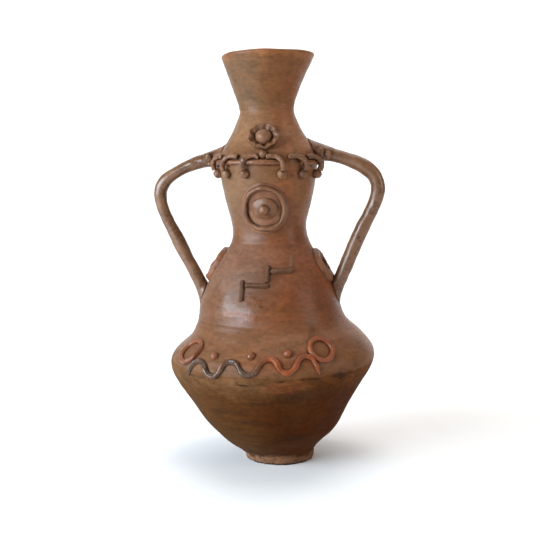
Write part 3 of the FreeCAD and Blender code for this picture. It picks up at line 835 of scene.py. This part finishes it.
def wall_clay(name, gleam):
    """The built-up wall: toned by height and side, the sides' tones partly painted sheen and shade, streaked
    and stained by the fire, rubbed in bands, and given painted shade where ornaments are near. gleam is its
    specular level."""
    g = Graph(name)
    clouds = g.noise(55, (1, 1, 0.8), 4, 0.6)
    patches = g.noise(20, (1.3, 1.3, 0.8), 5, 0.6, (3, 7, 1), 0.4)
    ragged = g.noise(7, (1.6, 1.6, 0.7), 5, 0.6, (4, 4, 2))
    strokes = g.noise(1.6, (6, 6, 1), 5, 0.65, (5, 2, 9))
    bands = g.noise(5.5, (9, 9, 1), 4, 0.6, (2, 6, 1))
    mottle = g.noise(4, (1.5, 1.5, 1), 5, 0.65, (8, 1, 4))
    fine = g.noise(0.55, (10, 10, 1), 3, 0.6, (1, 8, 3))
    pores = g.noise(1.2, (1.3, 1.3, 1), 3, 0.7, (9, 4, 6))

    level = g.total(g.axis("Z"), g.curve(patches, 0.25, 0.75, -7 * MM, 7 * MM, False))
    # Left and right tones mixed by side: clay colour with painted sheen and painted shade (see WALL_TONES).
    side = g.total(g.turned(), g.curve(clouds, 0.3, 0.7, -0.45, 0.45, False))
    colour = g.mix(
        g.curve(side, -0.75, 0.85),
        g.ramp(level, [(z, linear(*left)) for z, left, _ in WALL_TONES]),
        g.ramp(level, [(z, linear(*right)) for z, _, right in WALL_TONES]))
    for *patch, strength in WARM_MARKS:
        colour = g.mix(g.times(g.smear(ragged, *patch), strength), colour, WARM)
    colour = g.brightness(colour, g.total(
        g.curve(patches, 0.28, 0.72, 0.87, 1.13),
        g.curve(mottle, 0.25, 0.75, -0.2, 0.2),
        g.curve(strokes, 0.3, 0.7, 0.08, -0.08),
        g.curve(bands, 0.32, 0.68, 0.05, -0.06),
        g.curve(pores, 0.62, 0.76, 0, -0.4)))

    smoked = g.curve(level, 122 * MM, 96 * MM)
    soot = g.noise(26, (1.6, 1.6, 0.8), 5, 0.68, (12, 3, 5), 0.8)
    darkening = g.times(g.curve(soot, 0.55, 0.72), g.curve(smoked, 0, 1, 0.12, 0.42))
    colour = g.mix(darkening, colour, SOOT)
    for *patch, strength in FIRE_MARKS:
        colour = g.mix(g.times(g.smear(ragged, *patch), strength), colour, SCORCHED)
    # Painted shade: the wall is darkened where an ornament is near, less so at its left and right edges.
    sides = g.curve(g.math("ABSOLUTE", g.turned()), 0.96, 0.8, 0.2, 1.0)
    painted_shade = g.times(g.occlusion_shade(4.2), g.curve(ragged, 0.3, 0.6, 0.5, 0.9))
    colour = g.mix(g.times(painted_shade, sides), colour, WALL_PAINTED_SHADE)
    foot = g.curve(g.axis("Z"), 12 * MM, 9 * MM)
    flakes = g.noise(6, (1.6, 1.6, 0.8), 4, 0.7, (2, 9, 9))
    chips = g.times(foot, g.curve(flakes, 0.5, 0.62, 0, 0.65))
    g.feed(g.shader.inputs["Base Color"], g.mix(chips, colour, CHIPPED))

    upper_dome = g.times(g.curve(level, 192 * MM, 206 * MM), g.curve(level, 250 * MM, 238 * MM))
    g.feed(g.shader.inputs["Roughness"], g.total(
        g.curve(level, 130 * MM, 112 * MM, 0.37, 0.76),
        g.times(upper_dome, 0.2),
        g.curve(patches, 0.3, 0.7, -0.05, 0.06),
        g.curve(strokes, 0.3, 0.7, -0.05, 0.07),
        g.curve(foot, 0, 1, 0, 0.15),
        g.times(g.smear(ragged, *POLISHED), g.curve(mottle, 0.42, 0.58, -0.28, -0.06))))
    g.shader.inputs["IOR"].default_value = 1.3
    g.shader.inputs["Specular IOR Level"].default_value = gleam
    g.relief(g.total(
        g.times(strokes, 0.5),
        g.times(fine, 0.16),
        g.times(bands, 0.45),
        g.times(mottle, 0.7),
        g.times(g.curve(pores, 0.62, 0.75), -0.4),
        g.times(chips, -0.8)), 0.5, 0.35)
    return g.material


def pressed_clay(name, base, light, dark, shine, darkening):
    """Applied coils and pellets, with painted shade where they meet the wall and in their creases. base,
    light and dark are tones. shine is the roughness of the smooth and of the dull spots, and the specular
    level. darkening is the strength of the painted shade in the crevices. The corners' attributes say where
    the clay is worn orange, coated with grey slip, or bare and toned like the wall."""
    g = Graph(name)
    patches = g.noise(16, (1, 1, 1), 5, 0.6, (3, 7, 1), 0.4)
    mottle = g.noise(3.5, (1, 1, 1), 5, 0.65, (8, 1, 4))
    fine = g.noise(0.8, (1, 1, 1), 3, 0.6, (1, 8, 3))
    pores = g.noise(1.1, (1, 1, 1), 3, 0.7, (9, 4, 6))
    smooth_spots, dull_spots, gleam = shine

    colour = g.mix(g.attribute("worn"), linear(*base), WORN_ORANGE)
    colour = g.mix(g.attribute("slip"), colour, GREY_SLIP)
    colour = g.mix(g.curve(patches, 0.5, 0.72, 0, 0.6), colour, linear(*light))
    colour = g.mix(g.curve(patches, 0.5, 0.3, 0, 0.55), colour, linear(*dark))
    colour = g.brightness(colour, g.total(
        g.curve(mottle, 0.25, 0.75, 0.84, 1.16),
        g.curve(pores, 0.6, 0.74, 0, -0.4)))
    # Painted shade in the creases and where another surface is near; sharp ridges get the lighter tone.
    edges = g.nodes.new("ShaderNodeNewGeometry").outputs["Pointiness"]
    colour = g.mix(g.curve(edges, 0.51, 0.57, 0, 0.3), colour, linear(*light))
    colour = g.mix(g.curve(edges, 0.485, 0.44, 0, 0.7), colour, CREASE_PAINTED_SHADE)
    painted_shade = g.times(g.occlusion_shade(2.8), g.curve(mottle, 0.3, 0.6, 0.45 * darkening, darkening))
    colour = g.mix(painted_shade, colour, CREVICE_PAINTED_SHADE)
    colour = g.mix(g.attribute("bare"), colour, BARE_CLAY)
    g.feed(g.shader.inputs["Base Color"], colour)

    g.feed(g.shader.inputs["Roughness"], g.total(
        g.curve(patches, 0.3, 0.7, smooth_spots, dull_spots),
        g.curve(mottle, 0.3, 0.7, -0.06, 0.08),
        g.times(g.attribute("worn"), 0.22),
        g.times(g.attribute("slip"), -0.06)))
    g.shader.inputs["IOR"].default_value = 1.4
    g.shader.inputs["Specular IOR Level"].default_value = gleam
    g.relief(g.total(
        g.times(mottle, 0.45),
        g.times(fine, 0.25),
        g.times(g.curve(pores, 0.6, 0.74), -0.4)), 0.5, 0.3)
    return g.material


FINISHES = {
    "burnished_clay": wall_clay("burnished_clay", 0.5),
    "smoked_clay": wall_clay("smoked_clay", 0.14),
    "handle_clay": pressed_clay(
        "handle_clay", (106, 71, 45), (128, 88, 60), (76, 48, 30), (0.24, 0.38, 0.8), 0.3),
    "ornament_clay": pressed_clay(
        "ornament_clay", (108, 70, 44), (138, 98, 68), (80, 48, 30), (0.34, 0.5, 0.55), 0.85),
    "orange_clay": pressed_clay(
        "orange_clay", (108, 66, 40), (132, 80, 46), (80, 44, 24), (0.22, 0.32, 0.65), 1.0),
    "grey_clay": pressed_clay(
        "grey_clay", (92, 57, 34), (128, 92, 64), (60, 37, 23), (0.36, 0.5, 0.35), 1.0),
}
for node, piece in shown.items():
    piece.data.materials.clear()
    piece.data.materials.append(FINISHES[SLOTS[node]])


# ---------------------------------------------------------------- studio

# Lengths in the studio are in metres.
FLOOR_END = 1.6      # where the floor starts to bend up behind the vessel
BEND = 1.2           # radius of that bend
EYE_TURN = math.radians(6.0)    # to the vessel's right
EYE_TIP = math.atan(100 / 930)  # down from level
EYE_DISTANCE = 1.0384
EYE_ASIDE = 0.0006
EYE_HEIGHT = 0.3247


def sweep():
    """Pale floor that curves up into a backdrop."""
    rows = [(y, 0.0) for y in (-4.0, -2.0, -1.0, 0.0, 1.0, FLOOR_END)]
    rows += [
        (FLOOR_END + BEND * math.sin(t), BEND - BEND * math.cos(t)) for t in np.linspace(0.1, math.pi / 2, 16)
    ]
    rows += [(FLOOR_END + BEND, 2.5), (FLOOR_END + BEND, 4.5)]
    points = [(x, y, z) for y, z in rows for x in (-5.0, 5.0)]
    faces = [[2 * k, 2 * k + 1, 2 * k + 3, 2 * k + 2] for k in range(len(rows) - 1)]
    floor = new_piece("studio.sweep", points, faces)
    g = Graph("studio_paper")
    tone = g.curve(g.noise(300, (1, 1, 1), 3, 0.5), 0.3, 0.7)
    g.feed(g.shader.inputs["Base Color"], g.mix(tone, (0.86, 0.86, 0.86, 1), (0.9, 0.9, 0.89, 1)))
    g.shader.inputs["Roughness"].default_value = 0.9
    g.shader.inputs["Specular IOR Level"].default_value = 0.1
    floor.data.materials.append(g.material)


def lamp(name, place, target, size, power, colour):
    light = bpy.data.lights.new(name, "AREA")
    light.shape = "RECTANGLE"
    light.size, light.size_y = size
    light.energy = power
    light.color = colour
    thing = bpy.data.objects.new(name, light)
    thing.location = place
    thing.rotation_euler = (Vector(target) - Vector(place)).to_track_quat("-Z", "Y").to_euler()
    bpy.context.scene.collection.objects.link(thing)


def studio():
    sweep()
    lamp("window", (-1.25, -1.0, 0.62), (0, 0, 0.22), (1.5, 0.72), 57, (0.76, 0.88, 1.0))
    lamp("overhead", (0.1, -0.1, 2.2), (0, 0, 0.2), (1.2, 1.2), 12, (1.0, 0.95, 0.88))
    lamp("right_fill", (1.5, -0.5, 0.7), (0, 0, 0.2), (0.7, 1.0), 9, (1.0, 0.9, 0.8))
    lamp("paper_light", (0.0, 1.0, 2.4), (0, 2.4, 0.9), (3.0, 0.8), 70, (1, 1, 1))
    world = bpy.data.worlds.new("studio")
    world.use_nodes = True
    world.node_tree.nodes["Background"].inputs[0].default_value = (1.0, 0.98, 0.95, 1)
    world.node_tree.nodes["Background"].inputs[1].default_value = 0.15
    bpy.context.scene.world = world
    bpy.context.scene.view_settings.view_transform = "Standard"


def camera():
    """Level with the top of the neck, from a few degrees to the right, tipped down a little."""
    right = Vector((math.cos(EYE_TURN), math.sin(EYE_TURN), 0))
    ahead = Vector((-math.sin(EYE_TURN), math.cos(EYE_TURN), 0))
    view = ahead * math.cos(EYE_TIP) - Vector((0, 0, math.sin(EYE_TIP)))
    lens = bpy.data.cameras.new("eye")
    lens.lens = 62
    lens.sensor_width = 36
    eye = bpy.data.objects.new("eye", lens)
    pose = Matrix((right, right.cross(view), -view)).transposed().to_4x4()
    foot = Vector((0, 0, CAD_BOX[0][2]))
    pose.translation = foot - ahead * EYE_DISTANCE + right * EYE_ASIDE + Vector((0, 0, EYE_HEIGHT))
    eye.matrix_world = pose
    bpy.context.scene.collection.objects.link(eye)
    bpy.context.scene.camera = eye


studio()
camera()
